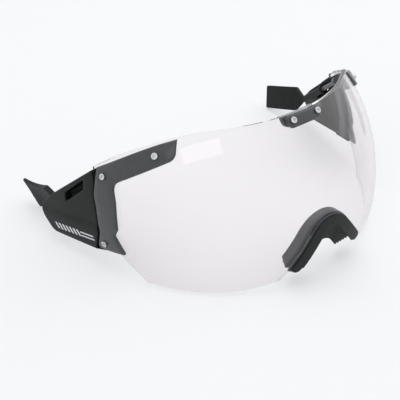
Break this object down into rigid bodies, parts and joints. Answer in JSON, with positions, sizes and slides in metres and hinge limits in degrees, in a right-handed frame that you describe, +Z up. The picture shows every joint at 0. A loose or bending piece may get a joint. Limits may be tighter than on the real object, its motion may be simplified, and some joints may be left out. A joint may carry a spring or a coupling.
{
  "type": "clear clip-on face visor",
  "caption": "Clear wraparound visor for a cycling helmet, with nose bridge, brow and side brackets, side panels and flexing magnetic temple tabs that slide on rods.",
  "frame": {"origin": "on the table, under the middle of the visor's width and depth, in the pose of the picture", "axes": "+X to the wearer's left, +Y to the rear, +Z up; the lens leans back on its cheek lobes and the temple tabs"},
  "size_m": [0.1602, 0.122, 0.065],
  "materials": {
    "clear_lens": "clear polished polycarbonate",
    "grey_plastic": "satin moulded",
    "black_panel": "soft-touch satin",
    "rubber": "moulded matt rubber",
    "coated_rod": "dark grey coated steel wire",
    "steel": "satin stainless"
  },
  "bodies": {
    "visor": {"lens": "clear_lens", "nose_clip": "grey_plastic", "nose_pad": "rubber", "centre_plate": "grey_plastic", "centre_backing": "grey_plastic", "centre_screws": "steel", "centre_nuts": "steel", "bracket_left": "grey_plastic", "bracket_right": "grey_plastic", "backing_left": "grey_plastic", "backing_right": "grey_plastic", "bracket_screws_left": "steel", "bracket_screws_right": "steel", "bracket_nuts_left": "steel", "bracket_nuts_right": "steel", "side_panel_left": "black_panel", "side_panel_right": "black_panel", "guide_rod_left": "coated_rod", "guide_rod_right": "coated_rod", "rod_socket_left": "grey_plastic", "rod_socket_right": "grey_plastic"},
    "slider_left": {"sleeve_left": "rubber", "neck_left": "rubber"},
    "temple_tab_left": {"tab_left": "rubber", "magnet_left": "steel"},
    "slider_right": {"sleeve_right": "rubber", "neck_right": "rubber"},
    "temple_tab_right": {"tab_right": "rubber", "magnet_right": "steel"}
  },
  "joints": [
    {"name": "sleeve_slide_left", "type": "slide", "parent": "visor", "child": "slider_left", "axis": [0.3152, 0.7238, -0.6138], "range_m": [-0.0028, 0.008]},
    {"name": "tab_flex_left", "type": "hinge", "parent": "slider_left", "child": "temple_tab_left", "pos_m": [0.07277, 0.02841, 0.01775], "axis": [0.2636, 0.3253, 0.9081], "range_deg": [-14, 30], "stiffness_Nm_per_rad": 0.03, "deforming": ["neck_left"]},
    {"name": "sleeve_slide_right", "type": "slide", "parent": "visor", "child": "slider_right", "axis": [-0.3152, 0.7238, -0.6138], "range_m": [-0.0028, 0.008]},
    {"name": "tab_flex_right", "type": "hinge", "parent": "slider_right", "child": "temple_tab_right", "pos_m": [-0.07277, 0.02841, 0.01775], "axis": [0.2636, -0.3253, -0.9081], "range_deg": [-14, 30], "stiffness_Nm_per_rad": 0.03, "deforming": ["neck_right"]}
  ]
}
